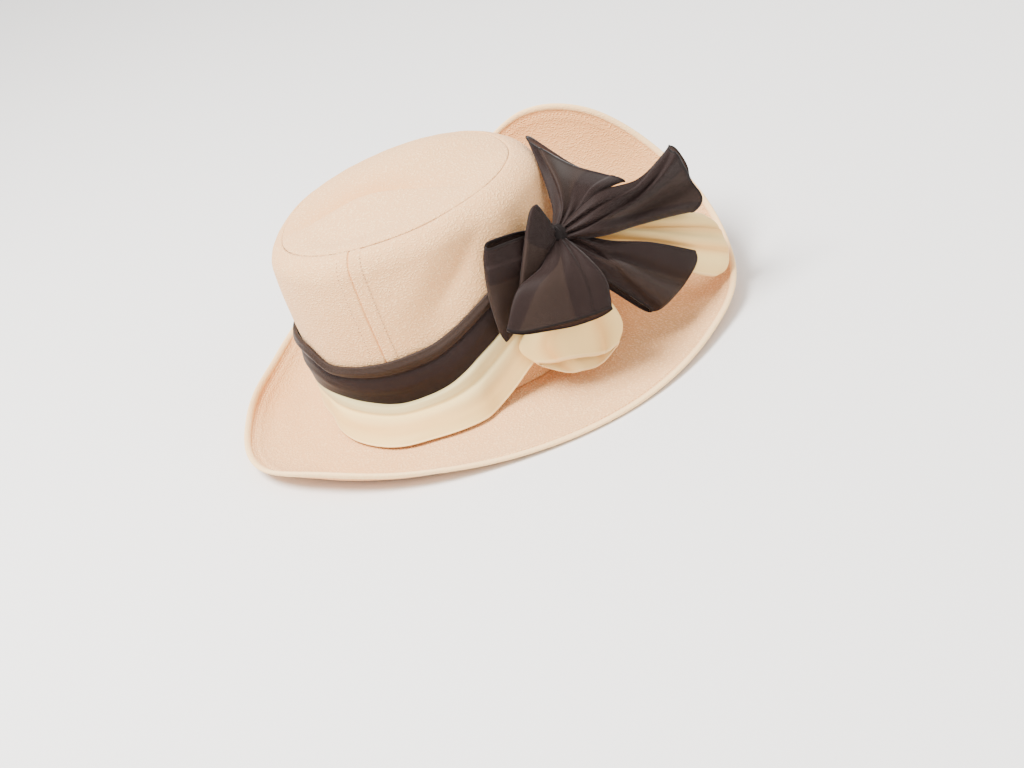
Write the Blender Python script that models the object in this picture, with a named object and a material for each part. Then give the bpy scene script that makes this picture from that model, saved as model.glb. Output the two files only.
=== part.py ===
"""A cloth hat with an upturned brim, a two-colour chiffon sash and a bow, lying on its brim.

Metres, +Z up. +X is the front of the hat and +Y its turned-up side. Angles run round the head from the
front towards the turned-up side, in degrees, so the bow and the near side lie round 270.
"""
import math
from collections import namedtuple

import bmesh
import bpy
from mathutils import Matrix, Vector

# Clearance between two pieces that touch
GAP = 0.0003

# Crown: an oval side with a rounded shoulder and an oval tip
HEAD_LENGTH = 0.187
HEAD_WIDTH = 0.162
CROWN_HEIGHT = 0.122
CROWN_CLOTH = 0.0015
SHOULDER_RADIUS = 0.017
SHOULDER_TURN = 74.0
SHOULDER_LEAD = 0.0035
SIDE_BELLY = 0.0025
TIP_RISE = 0.006
FAR_RISE = 0.007
CROWN_LEAN = 0.008
TIP_DOME = 0.0105
DENT_DEPTH = 0.0045

# Brim: one sheet with a rolled hem
ROOT_HEIGHT = 0.0080
BRIM_WIDTH = 0.130
BRIM_CLOTH = 0.0016
HEM_WIDTH = 0.0050
HEM_THICKNESS = 0.0032

# Sash: a brown band over a cream one
SASH_CLOTH = 0.0019
SASH_ROLL = 0.0013
SASH_TUCK = 0.0040
SASH_FLARE = 0.027
SASH_BELLY = 0.0030

# Bow: a knot with gathered loops round it
BOW_ANGLE = 321.0
BOW_HEIGHT = 0.664 * CROWN_HEIGHT
KNOT_RADIUS = 0.0095
BOW_PROUD = 0.0014
LOOP_REACH = 0.100
LOOP_CLOTH = 0.0012
GATHER_WIDTH = 0.0098
GATHER_DEPTH = 0.0058

AROUND_CROWN = 56
AROUND_BRIM = 72
AROUND_SASH = 48
AROUND_HEM = 6
AROUND_LOOP = 12
LOOP_STEPS = 6

CREPE = (0.86, 0.66, 0.48, 1.0)
HEM_CREPE = (0.90, 0.73, 0.55, 1.0)
BROWN_CHIFFON = (0.045, 0.026, 0.021, 1.0)
CREAM_CHIFFON = (0.82, 0.66, 0.42, 1.0)

# Brim sections: width as a share of BRIM_WIDTH, slopes at the root and at the edge in degrees, and
# how late the slope turns
Brim = namedtuple("Brim", "angle width root_slope edge_slope lateness")
BRIM_SECTIONS = [
    Brim(0, 0.82, -18, 45, 1.3),
    Brim(18, 0.91, 8, 63, 1.3),
    Brim(34, 1.02, 32, 85, 1.3),
    Brim(50, 0.99, 42, 88, 1.3),
    Brim(66, 0.83, 38, 86, 1.3),
    Brim(85, 0.68, 28, 78, 1.3),
    Brim(110, 0.57, 12, 63, 1.3),
    Brim(132, 0.49, 0, 52, 1.4),
    Brim(152, 0.46, -13, 62, 2.0),
    Brim(167, 0.49, -18, 70, 2.5),
    Brim(182, 0.505, -15.5, 53, 2.5),
    Brim(205, 0.59, -14, 36, 2.0),
    Brim(228, 0.61, -15, 66, 2.5),
    Brim(250, 0.59, -15, 52, 2.5),
    Brim(270, 0.57, -13, 22, 2.0),
    Brim(300, 0.62, -13.5, 12, 1.5),
    Brim(330, 0.68, -14, 18, 1.3),
    Brim(345, 0.76, -17, 31, 1.3),
]

# Sash at each angle: the brown band's top and lower edge and the cream band's lift off the brim as
# shares of CROWN_HEIGHT, and the cream band's reach over the brim as a share of SASH_FLARE
Sash = namedtuple("Sash", "angle top low reach lift")
SASH_SECTIONS = [
    Sash(0, 0.51, 0.33, 0.30, 0.00),
    Sash(40, 0.46, 0.25, 0.22, 0.00),
    Sash(90, 0.42, 0.21, 0.22, 0.00),
    Sash(135, 0.43, 0.22, 0.24, 0.00),
    Sash(180, 0.47, 0.19, 0.26, 0.00),
    Sash(200, 0.46, 0.19, 0.30, 0.00),
    Sash(212, 0.37, 0.18, 0.58, 0.00),
    Sash(225, 0.36, 0.155, 0.84, 0.00),
    Sash(240, 0.37, 0.13, 1.00, 0.00),
    Sash(252, 0.39, 0.150, 0.89, 0.00),
    Sash(262, 0.41, 0.185, 0.83, 0.00),
    Sash(270, 0.45, 0.24, 0.72, 0.00),
    Sash(276, 0.49, 0.29, 0.50, 0.01),
    Sash(283, 0.54, 0.34, 0.42, 0.06),
    Sash(293, 0.60, 0.41, 0.42, 0.15),
    Sash(306, 0.66, 0.46, 0.36, 0.19),
    Sash(321, 0.68, 0.48, 0.32, 0.19),
    Sash(338, 0.60, 0.42, 0.30, 0.10),
]

# Dents pressed into the crown's side: place, then depth as a share of DENT_DEPTH, and its reach
# along and across its own direction as shares of CROWN_HEIGHT, with the direction from level
Dent = namedtuple("Dent", "angle height depth along across heading")
SIDE_DENTS = [
    Dent(279, 0.74, 1.00, 0.24, 0.085, 40),
    Dent(266, 0.50, 0.50, 0.17, 0.10, 62),
    Dent(256, 0.86, 0.45, 0.16, 0.13, 0),
    Dent(291, 0.60, -0.40, 0.22, 0.10, 50),
    Dent(20, 0.70, 0.50, 0.25, 0.15, 20),
]

# Dents in the tip: place and reach as shares of HEAD_LENGTH and HEAD_WIDTH
TipDent = namedtuple("TipDent", "ahead side depth along across heading")
TIP_DENTS = [
    TipDent(-0.05, -0.20, 1.30, 0.36, 0.16, 4),
    TipDent(-0.26, -0.04, 0.60, 0.14, 0.22, 0),
    TipDent(0.12, 0.20, -0.55, 0.30, 0.16, 0),
]

# Loops of the bow, each a row for a section: its place from the bow's middle, half-width and
# half-depth as shares of LOOP_REACH, and the way that its front panel faces: round the hat, up, and
# its roll
Fold = namedtuple("Fold", "ahead side up half_width half_depth faces tilt roll")
Loop = namedtuple("Loop", "name finish crease crease_at dip folds")
LOOPS = [
    Loop("loop_upper", "brown", 0.5, 0.1, 0.06, [
        Fold(0.13, 0.13, 0.10, 0.11, 0.040, 268, 30, -20),
        Fold(0.22, 0.31, 0.20, 0.22, 0.055, 265, 31, -34),
        Fold(0.31, 0.57, 0.26, 0.39, 0.080, 263, 32, -43),
    ]),
    Loop("loop_front", "brown", 0.8, -0.2, -0.05, [
        Fold(0.29, 0.03, 0.03, 0.135, 0.048, 272, 20, 80),
        Fold(0.55, 0.18, -0.04, 0.145, 0.055, 275, 20, 70),
        Fold(0.79, 0.32, -0.06, 0.195, 0.065, 280, 20, 80),
        Fold(0.95, 0.41, -0.07, 0.245, 0.060, 284, 20, 90),
    ]),
    Loop("loop_side", "brown", 0.9, 0.1, -0.02, [
        Fold(0.20, -0.04, -0.205, 0.12, 0.040, 275, 35, 30),
        Fold(0.39, -0.03, -0.35, 0.205, 0.050, 275, 38, 24),
        Fold(0.66, 0.04, -0.62, 0.275, 0.055, 278, 40, 30),
    ]),
    Loop("loop_lower", "brown", 0.3, 0.3, -0.02, [
        Fold(-0.025, -0.215, -0.09, 0.145, 0.042, 276, 32, -12),
        Fold(-0.10, -0.345, -0.18, 0.28, 0.055, 280, 34, -17),
        Fold(-0.19, -0.425, -0.385, 0.34, 0.060, 282, 36, -12),
    ]),
    Loop("loop_fold", "brown", 0.0, 0.0, 0.0, [
        Fold(-0.10, -0.11, 0.02, 0.16, 0.022, 300, 10, 60),
        Fold(-0.17, -0.155, 0.035, 0.26, 0.025, 295, 10, 60),
        Fold(-0.255, -0.205, 0.05, 0.36, 0.030, 290, 10, 59),
    ]),
    Loop("loop_back", "brown", 0.2, 0.0, -0.02, [
        Fold(-0.17, -0.08, -0.06, 0.17, 0.030, 305, 4, 72),
        Fold(-0.31, -0.175, -0.09, 0.26, 0.034, 297, 5, 76),
        Fold(-0.52, -0.275, -0.12, 0.33, 0.042, 288, 6, 82),
    ]),
    Loop("loop_cream_lower", "cream", 0.4, 0.4, -0.03, [
        Fold(-0.05, -0.10, -0.25, 0.13, 0.045, 290, 18, -12),
        Fold(-0.06, -0.19, -0.42, 0.24, 0.060, 284, 22, -12),
        Fold(-0.13, -0.25, -0.58, 0.34, 0.070, 282, 30, -11),
        Fold(-0.10, -0.32, -0.76, 0.18, 0.055, 278, 40, -6),
    ]),
    Loop("loop_cream_front", "cream", 0.6, 0.2, -0.05, [
        Fold(0.30, 0.19, -0.175, 0.11, 0.040, 285, 40, 70),
        Fold(0.57, 0.27, -0.33, 0.15, 0.050, 282, 42, 72),
        Fold(0.83, 0.32, -0.49, 0.22, 0.065, 280, 44, 74),
        Fold(1.03, 0.38, -0.61, 0.23, 0.060, 280, 44, 76),
    ]),
]


def reading(rows, column, angle):
    """A smooth value of one column at any angle, from rows that go once round the head."""
    count = len(rows)
    angle = (angle - rows[0].angle) % 360 + rows[0].angle
    first = max(index for index in range(count) if rows[index].angle <= angle)

    def knot(index):
        row = rows[index % count]
        return row.angle + 360 * (index // count), getattr(row, column)

    (a0, v0), (a1, v1), (a2, v2), (a3, v3) = (knot(first + step) for step in (-1, 0, 1, 2))
    return hermite((angle - a1) / (a2 - a1), a0, v0, a1, v1, a2, v2, a3, v3)


def hermite(t, a0, v0, a1, v1, a2, v2, a3, v3):
    """A cubic between v1 and v2 whose slopes come from the neighbours."""
    start = (v2 - v0) / (a2 - a0) * (a2 - a1)
    end = (v3 - v1) / (a3 - a1) * (a2 - a1)
    return ((2 * t ** 3 - 3 * t ** 2 + 1) * v1 + (t ** 3 - 2 * t ** 2 + t) * start
            + (3 * t ** 2 - 2 * t ** 3) * v2 + (t ** 3 - t ** 2) * end)


def smooth_step(t):
    t = min(max(t, 0.0), 1.0)
    return t * t * (3 - 2 * t)


def angles(count):
    return [360.0 * index / count for index in range(count)]


def root_point(angle):
    """The point of the head oval where crown and brim meet, and the way out from it."""
    along, across = math.cos(math.radians(angle)), math.sin(math.radians(angle))
    out = Vector((along / HEAD_LENGTH, across / HEAD_WIDTH, 0)).normalized()
    return Vector((HEAD_LENGTH / 2 * along, HEAD_WIDTH / 2 * across, ROOT_HEIGHT)), out


# Crown

WALL_HEIGHT = CROWN_HEIGHT - SHOULDER_RADIUS * math.sin(math.radians(SHOULDER_TURN))


def press(dent, away_along, away_up, size):
    """How deep one dent is at a distance from its middle."""
    turn = math.radians(dent.heading)
    along = away_along * math.cos(turn) + away_up * math.sin(turn)
    across = away_up * math.cos(turn) - away_along * math.sin(turn)
    reach = (along / (dent.along * size)) ** 2 + (across / (dent.across * size)) ** 2
    return DENT_DEPTH * dent.depth * math.exp(-reach)


def side_dent(angle, height):
    depth = 0.0
    for dent in SIDE_DENTS:
        turn = (angle - dent.angle + 180) % 360 - 180
        arc = math.radians(turn) * (HEAD_LENGTH + HEAD_WIDTH) / 4
        depth += press(dent, arc, height - dent.height * CROWN_HEIGHT, CROWN_HEIGHT)
    return depth * smooth_step(height / (0.45 * CROWN_HEIGHT))


def side_point(angle, height, stand=0.0):
    """A point at a height above the root, and a stand-off outside the crown's side."""
    over = max(height - WALL_HEIGHT, 0.0) / SHOULDER_RADIUS
    turn = math.asin(min(over, math.sin(math.radians(SHOULDER_TURN))))
    ahead = math.cos(math.radians(angle))
    rounding = (1 - math.cos(turn)) / (1 - math.cos(math.radians(SHOULDER_TURN)))
    inset = SHOULDER_RADIUS * (1 - math.cos(turn)) + SHOULDER_LEAD * rounding * max(ahead, 0.0)
    if height < WALL_HEIGHT:
        inset -= SIDE_BELLY * math.sin(math.pi * max(height, 0.0) / WALL_HEIGHT)
    inset += side_dent(angle, height)
    share = height / CROWN_HEIGHT
    point, out = root_point(angle)
    rise = TIP_RISE * ahead + FAR_RISE * smooth_step(math.sin(math.radians(angle)))
    lean = Vector((-CROWN_LEAN * share, 0, height + rise * share))
    return point + lean + out * math.cos(turn) * stand - out * inset + Vector((0, 0, math.sin(turn) * stand))


def side_heights():
    wall = [WALL_HEIGHT * share for share in (0.0, 0.25, 0.5, 0.7, 0.85, 1.0)]
    turns = [SHOULDER_TURN * share for share in (0.33, 0.67, 1.0)]
    return wall + [WALL_HEIGHT + SHOULDER_RADIUS * math.sin(math.radians(turn)) for turn in turns]


def crown_side():
    heights = side_heights()
    heights[0] = -BRIM_CLOTH
    outer = [[side_point(angle, height) for angle in angles(AROUND_CROWN)] for height in heights]
    inner = [[side_point(angle, height, -CROWN_CLOTH) for angle in angles(AROUND_CROWN)] for height in heights]
    return skin("crown_side", outer + inner[::-1], "crepe", ring=True)


def tip_point(angle, share, drop=0.0):
    """A point of the tip, at a share of the way from its middle to its seam."""
    middle = Vector((-CROWN_LEAN, 0, ROOT_HEIGHT + CROWN_HEIGHT))
    point = middle.lerp(side_point(angle, CROWN_HEIGHT), share)
    point.z += TIP_DOME * (1 - share ** 2) - drop
    away = 1 - smooth_step((share - 0.72) / 0.28)
    for dent in TIP_DENTS:
        ahead = point.x + CROWN_LEAN - dent.ahead * HEAD_LENGTH
        side = point.y - dent.side * HEAD_WIDTH
        point.z -= away * press(dent, ahead, side, HEAD_LENGTH)
    return point


def tip_rim(angle, stand):
    """A point of the tip's rim, a clearance inside the shoulder's end."""
    return side_point(angle, CROWN_HEIGHT, stand) - root_point(angle)[1] * GAP


def crown_tip():
    shares = [0.82, 0.60, 0.36, 0.12]
    upper = [[tip_rim(angle, 0.0) for angle in angles(AROUND_CROWN)]]
    upper += [[tip_point(angle, share) for angle in angles(AROUND_CROWN)] for share in shares]
    lower = [[tip_rim(angle, -CROWN_CLOTH) for angle in angles(AROUND_CROWN)]]
    lower += [[tip_point(angle, share, CROWN_CLOTH) for angle in angles(AROUND_CROWN)] for share in shares]
    return skin("crown_tip", lower[::-1] + upper, "crepe")


# Brim

def brim_point(angle, distance, lift=0.0):
    """A point at a distance out along the brim's upper face, lifted off it or sunk below it."""
    width = BRIM_WIDTH * reading(BRIM_SECTIONS, "width", angle)
    root_slope = reading(BRIM_SECTIONS, "root_slope", angle)
    edge_slope = reading(BRIM_SECTIONS, "edge_slope", angle)
    lateness = reading(BRIM_SECTIONS, "lateness", angle)
    steps = 12
    step = distance / steps
    out_by = up_by = 0.0
    for index in range(steps):
        done = (index + 0.5) * step / width
        slope = math.radians(root_slope + (edge_slope - root_slope) * done ** lateness)
        out_by += math.cos(slope) * step
        up_by += math.sin(slope) * step
    end = math.radians(root_slope + (edge_slope - root_slope) * min(distance / width, 1.0) ** lateness)
    point, out = root_point(angle)
    point = point + out * (out_by - math.sin(end) * lift)
    point.z += up_by + math.cos(end) * lift
    point.z = max(point.z, BRIM_CLOTH + lift, 0.0)
    return point


def brim():
    shares = [0.0, 0.14, 0.28, 0.42, 0.56, 0.71, 0.86, 1.0]
    upper, under = [], []
    for share in shares:
        top_ring, under_ring = [], []
        for angle in angles(AROUND_BRIM):
            sheet = BRIM_WIDTH * reading(BRIM_SECTIONS, "width", angle) - HEM_WIDTH - GAP
            distance = GAP + (sheet - GAP) * share
            top_ring.append(brim_point(angle, distance))
            under_ring.append(brim_point(angle, distance, -BRIM_CLOTH))
        if share == 0:
            under_ring = [point - Vector((0, 0, BRIM_CLOTH)) for point in top_ring]
        upper.append(top_ring)
        under.append(under_ring)
    return skin("brim", upper + under[::-1], "crepe", ring=True)


def brim_edge():
    rings = []
    for index in range(AROUND_HEM):
        turn = 2 * math.pi * (index + 0.5) / AROUND_HEM
        inward = HEM_WIDTH / 2 * (1 + math.cos(turn) / math.cos(math.pi / AROUND_HEM))
        lift = (HEM_THICKNESS * math.sin(turn) - BRIM_CLOTH) / 2
        ring = []
        for angle in angles(AROUND_BRIM):
            width = BRIM_WIDTH * reading(BRIM_SECTIONS, "width", angle)
            ring.append(brim_point(angle, width - inward, lift))
        rings.append(ring)
    return skin("brim_edge", rings, "hem", ring=True)


# Sash

def fold_roll(share, at, reach):
    """A soft ridge across a band at a share of its height."""
    return math.exp(-((share - at) / reach) ** 2)


def brown_stand(share, side):
    """How far the brown band stands off the crown: share 0 at its top; side 0 inside and 1 outside."""
    over = smooth_step(share / 0.6)
    ridge = fold_roll(share, 0.10, 0.08) - 0.35 * fold_roll(share, 0.30, 0.07) + 0.4 * fold_roll(share, 0.62, 0.12)
    return GAP + over * (SASH_CLOTH + GAP) + side * (SASH_CLOTH + SASH_ROLL * ridge)


def brown_face(angle, share, side):
    """A point of the brown band, on its inner or its outer face."""
    top = CROWN_HEIGHT * reading(SASH_SECTIONS, "top", angle)
    low = CROWN_HEIGHT * reading(SASH_SECTIONS, "low", angle)
    return side_point(angle, top + (low - top) * share, brown_stand(share, side))


def band_brown():
    shares = [0.0, 0.12, 0.3, 0.6, 1.0]
    outer = [[brown_face(angle, share, 1) for angle in angles(AROUND_SASH)] for share in shares]
    inner = [[brown_face(angle, share, 0) for angle in angles(AROUND_SASH)] for share in (0.0, 0.35, 0.6, 1.0)]
    return skin("band_brown", outer + inner[::-1], "brown", ring=True)


def cream_face(angle, share, side):
    """A point of the cream band: share -1 at its tucked top, 0 where it comes out and 1 at its hem."""
    low = CROWN_HEIGHT * reading(SASH_SECTIONS, "low", angle)
    if share < 0:
        return side_point(angle, low - share * SASH_TUCK, GAP + side * SASH_CLOTH)
    reach = SASH_FLARE * reading(SASH_SECTIONS, "reach", angle)
    lift = CROWN_HEIGHT * max(reading(SASH_SECTIONS, "lift", angle), 0.0)
    start = side_point(angle, low, GAP + SASH_CLOTH)
    end = brim_point(angle, reach, GAP + SASH_CLOTH) + Vector((0, 0, lift))
    run = end - start
    out = root_point(angle)[1]
    normal = Vector((-run.z * out.x, -run.z * out.y, run.dot(out))).normalized()
    normal = normal.lerp(out, 1 - smooth_step(share / 0.2)).normalized()
    flare = smooth_step(reach / SASH_FLARE)
    belly = SASH_BELLY * flare * math.sin(math.pi * share)
    ridge = SASH_ROLL * (fold_roll(share, 0.16, 0.09) - 0.7 * fold_roll(share, 0.34, 0.09))
    return start + run * share + normal * (belly + side * ridge * flare - (1 - side) * SASH_CLOTH)


def band_cream():
    shares = [-1.0, 0.0, 0.16, 0.34, 0.65, 1.0]
    outer = [[cream_face(angle, share, 1) for angle in angles(AROUND_SASH)] for share in shares]
    inner = [[cream_face(angle, share, 0) for angle in angles(AROUND_SASH)] for share in (-1.0, 0.0, 0.5, 1.0)]
    return skin("band_cream", outer + inner[::-1], "cream", ring=True)


# Bow

def bow_point(proud):
    """The middle of the knot, which sits on the brown band, or a point that far outside it."""
    top = reading(SASH_SECTIONS, "top", BOW_ANGLE)
    low = reading(SASH_SECTIONS, "low", BOW_ANGLE)
    share = (top - BOW_HEIGHT / CROWN_HEIGHT) / (top - low)
    return side_point(BOW_ANGLE, BOW_HEIGHT, brown_stand(share, 1) + GAP + KNOT_RADIUS + proud)


def bow_knot():
    mesh = bmesh.new()
    bmesh.ops.create_uvsphere(mesh, u_segments=12, v_segments=8, radius=KNOT_RADIUS)
    bmesh.ops.translate(mesh, vec=bow_point(0.0), verts=mesh.verts)
    return finish("bow_knot", mesh, "brown")


def facing(fold):
    """The three directions of a section: across its panel, up its panel and out of its front."""
    turn, tilt = math.radians(fold.faces), math.radians(fold.tilt)
    front = Vector((math.cos(tilt) * math.cos(turn), math.cos(tilt) * math.sin(turn), math.sin(tilt)))
    level = Vector((-math.sin(turn), math.cos(turn), 0))
    across = Matrix.Rotation(math.radians(-fold.roll), 3, -front) @ level
    return across, front


def way_out(fold):
    return Vector((fold.ahead, fold.side, fold.up)).normalized()


def gathered(fold):
    """The gathered end of a loop, laid against the knot on the way to the loop's first section."""
    across, front = facing(fold)
    knot, bow = bow_point(0.0), bow_point(BOW_PROUD)
    way = (bow + Vector((fold.ahead, fold.side, fold.up)) * LOOP_REACH - knot).normalized()
    reach = KNOT_RADIUS + GAP
    for turn in angles(AROUND_LOOP):
        rim = across * GATHER_WIDTH / 2 * math.cos(math.radians(turn))
        rim += front * GATHER_DEPTH / 2 * math.sin(math.radians(turn))
        clear = (KNOT_RADIUS + GAP) ** 2 - rim.length_squared + way.dot(rim) ** 2
        reach = max(reach, math.sqrt(max(clear, 0.0)) - way.dot(rim))
    place = (knot + way * reach - bow) / LOOP_REACH
    return fold._replace(ahead=place.x, side=place.y, up=place.z, half_width=GATHER_WIDTH / 2 / LOOP_REACH,
                         half_depth=GATHER_DEPTH / 2 / LOOP_REACH)


def between(folds, place):
    """A section at any place along a loop, read smoothly from the rows."""
    first = min(int(place), len(folds) - 2)
    before = folds[max(first - 1, 0)]
    after = folds[min(first + 2, len(folds) - 1)]
    columns = zip(before, folds[first], folds[first + 1], after)
    return Fold(*(hermite(place - first, -1, v0, 0, v1, 1, v2, 2, v3) for v0, v1, v2, v3 in columns))


def loop_ring(loop, fold, along, wall):
    """One closed ring round a flattened loop; a wall above zero gives the ring inside it."""
    across, front = facing(fold)
    centre = bow_point(BOW_PROUD) + Vector((fold.ahead, fold.side, fold.up)) * LOOP_REACH
    half_width = fold.half_width * LOOP_REACH
    half_depth = fold.half_depth * LOOP_REACH
    crease = loop.crease * half_depth * smooth_step(along / 0.6)
    onward = front.cross(across)
    onward *= math.copysign(1.0, onward.dot(way_out(fold))) * loop.dip * LOOP_REACH * smooth_step(2 * along - 1)
    ring = []
    for index in range(AROUND_LOOP):
        turn = 2 * math.pi * index / AROUND_LOOP
        wide = (half_width - 1.6 * wall) * math.cos(turn)
        deep = (half_depth - wall) * math.sin(turn)
        share = wide / half_width
        deep -= crease * (fold_roll(share, loop.crease_at, 0.28) - 0.5 * fold_roll(share, loop.crease_at - 0.55, 0.25))
        ring.append(centre + across * wide + front * deep - onward * (1 - share ** 2))
    return ring


def bow_loop(loop):
    folds = [gathered(loop.folds[0])] + loop.folds
    outer, inner = [], []
    for step in range(LOOP_STEPS + 1):
        along = step / LOOP_STEPS
        fold = between(folds, along * (len(folds) - 1))
        outer.append(loop_ring(loop, fold, along, 0.0))
        if step > 0:
            inner.append(loop_ring(loop, fold, along, LOOP_CLOTH))
    return skin(loop.name, outer + inner[::-1], loop.finish)


# Meshes

def skin(name, rings, finish_name, ring=False):
    """A closed body over rings of points; the last ring joins the first, or both ends are capped."""
    mesh = bmesh.new()
    loops = [[mesh.verts.new(point) for point in points] for points in rings]
    pairs = list(zip(loops, loops[1:]))
    if ring:
        pairs.append((loops[-1], loops[0]))
    for low, high in pairs:
        for index in range(len(low)):
            after = (index + 1) % len(low)
            mesh.faces.new((low[index], low[after], high[after], high[index]))
    if not ring:
        mesh.faces.new(loops[0])
        mesh.faces.new(loops[-1])
    return finish(name, mesh, finish_name)


def finish(name, mesh, finish_name):
    """Turn a bmesh into a smooth-shaded object with its material."""
    bmesh.ops.recalc_face_normals(mesh, faces=mesh.faces)
    data = bpy.data.meshes.new(name)
    mesh.to_mesh(data)
    mesh.free()
    data.shade_smooth()
    data.set_sharp_from_angle(angle=math.radians(50))
    data.materials.append(bpy.data.materials[finish_name])
    piece = bpy.data.objects.new(name, data)
    bpy.context.scene.collection.objects.link(piece)
    return piece


def material(name, colour, roughness, sheen):
    cloth = bpy.data.materials.new(name)
    cloth.use_nodes = True
    shader = cloth.node_tree.nodes["Principled BSDF"]
    shader.inputs["Base Color"].default_value = colour
    shader.inputs["Roughness"].default_value = roughness
    shader.inputs["Metallic"].default_value = 0.0
    shader.inputs["Sheen Weight"].default_value = sheen


def centre_on_brim(pieces):
    """Stand the hat with the middle of its brim over the origin."""
    hat = bpy.data.objects.new("hat", None)
    bpy.context.scene.collection.objects.link(hat)
    edge = next(piece for piece in pieces if piece.name == "brim_edge")
    for piece in pieces:
        piece.parent = hat
    for axis in (0, 1):
        reach = [vertex.co[axis] for vertex in edge.data.vertices]
        hat.location[axis] = -(min(reach) + max(reach)) / 2


def main():
    for piece in list(bpy.data.objects):
        bpy.data.objects.remove(piece)
    material("crepe", CREPE, 0.9, 0.1)
    material("hem", HEM_CREPE, 0.85, 0.1)
    material("brown", BROWN_CHIFFON, 0.55, 0.2)
    material("cream", CREAM_CHIFFON, 0.55, 0.2)
    pieces = [crown_side(), crown_tip(), brim(), brim_edge(), band_brown(), band_cream(), bow_knot()]
    pieces += [bow_loop(loop) for loop in LOOPS]
    centre_on_brim(pieces)


main()
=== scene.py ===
import functools
import math
from collections import namedtuple

import bmesh
import bpy
from mathutils import Matrix, Vector, noise


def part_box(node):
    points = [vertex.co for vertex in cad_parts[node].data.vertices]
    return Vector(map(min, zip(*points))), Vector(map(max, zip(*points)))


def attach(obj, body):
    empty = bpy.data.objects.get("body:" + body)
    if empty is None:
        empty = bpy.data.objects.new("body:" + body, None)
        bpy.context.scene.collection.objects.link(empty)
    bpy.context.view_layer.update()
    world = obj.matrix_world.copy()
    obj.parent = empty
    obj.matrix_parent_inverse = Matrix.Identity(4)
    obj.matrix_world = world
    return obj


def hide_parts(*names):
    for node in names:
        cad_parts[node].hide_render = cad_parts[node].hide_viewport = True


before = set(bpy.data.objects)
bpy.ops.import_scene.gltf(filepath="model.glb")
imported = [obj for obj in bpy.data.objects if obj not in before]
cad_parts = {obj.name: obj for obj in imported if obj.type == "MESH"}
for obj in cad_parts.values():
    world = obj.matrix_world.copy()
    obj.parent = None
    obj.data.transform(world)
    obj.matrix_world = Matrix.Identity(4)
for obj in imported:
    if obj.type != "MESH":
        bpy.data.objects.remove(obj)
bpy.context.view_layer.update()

# A cloth hat: pebbled crepe crown and brim, a sash of brown and cream chiffon, and a bow.
# Metres, +X the front of the hat, +Y its turned-up side. Angles run round the head from the front
# towards the turned-up side, in degrees, so the bow and the near side lie round 270.

# Sizes that the model has
GAP = 0.0003
HEAD_LENGTH = 0.187
HEAD_WIDTH = 0.162
CROWN_HEIGHT = 0.122
CROWN_CLOTH = 0.0015
SHOULDER_RADIUS = 0.017
SHOULDER_TURN = 74.0
SHOULDER_LEAD = 0.0035
SIDE_BELLY = 0.0025
TIP_RISE = 0.006
FAR_RISE = 0.007
CROWN_LEAN = 0.008
TIP_DOME = 0.0105
DENT_DEPTH = 0.0045
ROOT_HEIGHT = 0.0080
BRIM_WIDTH = 0.130
BRIM_CLOTH = 0.0016
HEM_WIDTH = 0.0050
HEM_THICKNESS = 0.0032
SASH_CLOTH = 0.0019
SASH_ROLL = 0.0013
SASH_TUCK = 0.0040
SASH_FLARE = 0.027
SASH_BELLY = 0.0030
BOW_ANGLE = 321.0
BOW_HEIGHT = 0.664 * CROWN_HEIGHT
KNOT_RADIUS = 0.0095
BOW_PROUD = 0.0014
LOOP_REACH = 0.100
GATHER_WIDTH = 0.0098
GATHER_DEPTH = 0.0058

# Sizes of the finish
CHIFFON = 0.0005
CHIFFON_HEM = 0.0012
SEAM_ANGLE = 241.5
SEAM_WIDTH = 0.0006
SEAM_DEPTH = 0.0009
SEAM_ALLOWANCE = 0.0082
STITCH_LENGTH = 0.0013
STITCH_PITCH = 0.0027
STITCH_THICK = 0.0006
GATHER_DEEP = 0.45
KNOT_DRAWN = 0.74
BRIM_STITCH_INSET = 0.0075
THREADS_PER_METRE = 1800
WELD = 0.00001

CROWN_GRID = (400, 84)
TIP_GRID = (320, 72)
BRIM_GRID = (432, 84)
HEM_GRID = (720, 16)
SASH_GRID = (384, 60)
LOOP_GRID = (144, 60)

# The crepe's colours from its pale face through its darker pits, painted shade, to its warm colour, which is
# painted shade too, and the chiffon's
CREPE_PALE = (0.95, 0.61, 0.29)
CREPE_PIT_SHADE = (0.74, 0.41, 0.18)
CREPE_PAINTED_SHADE = (0.78, 0.31, 0.08)
HEM_PALE = (0.95, 0.69, 0.34)
THREAD = (0.42, 0.24, 0.13)
BROWN = (0.0150, 0.0075, 0.0062)
BROWN_HEM = (0.0060, 0.0032, 0.0028)
BROWN_SHEER = (0.034, 0.020, 0.014)
# Painted glow inside the open ends of the brown loops
BROWN_PAINTED_GLOW = (0.075, 0.030, 0.016)
CREAM = (0.95, 0.70, 0.28)
CREAM_HEM = (0.86, 0.60, 0.28)
# Grey where the cream lies over the brown, and painted shadow beside the bow
CREAM_GREY = (0.46, 0.40, 0.22)
# Painted orange shade on the cream band and in the folds of the cream loops
CREAM_PAINTED_SHADE = (0.84, 0.42, 0.12)
FLOOR_PALE = (0.80, 0.79, 0.78)

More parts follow.
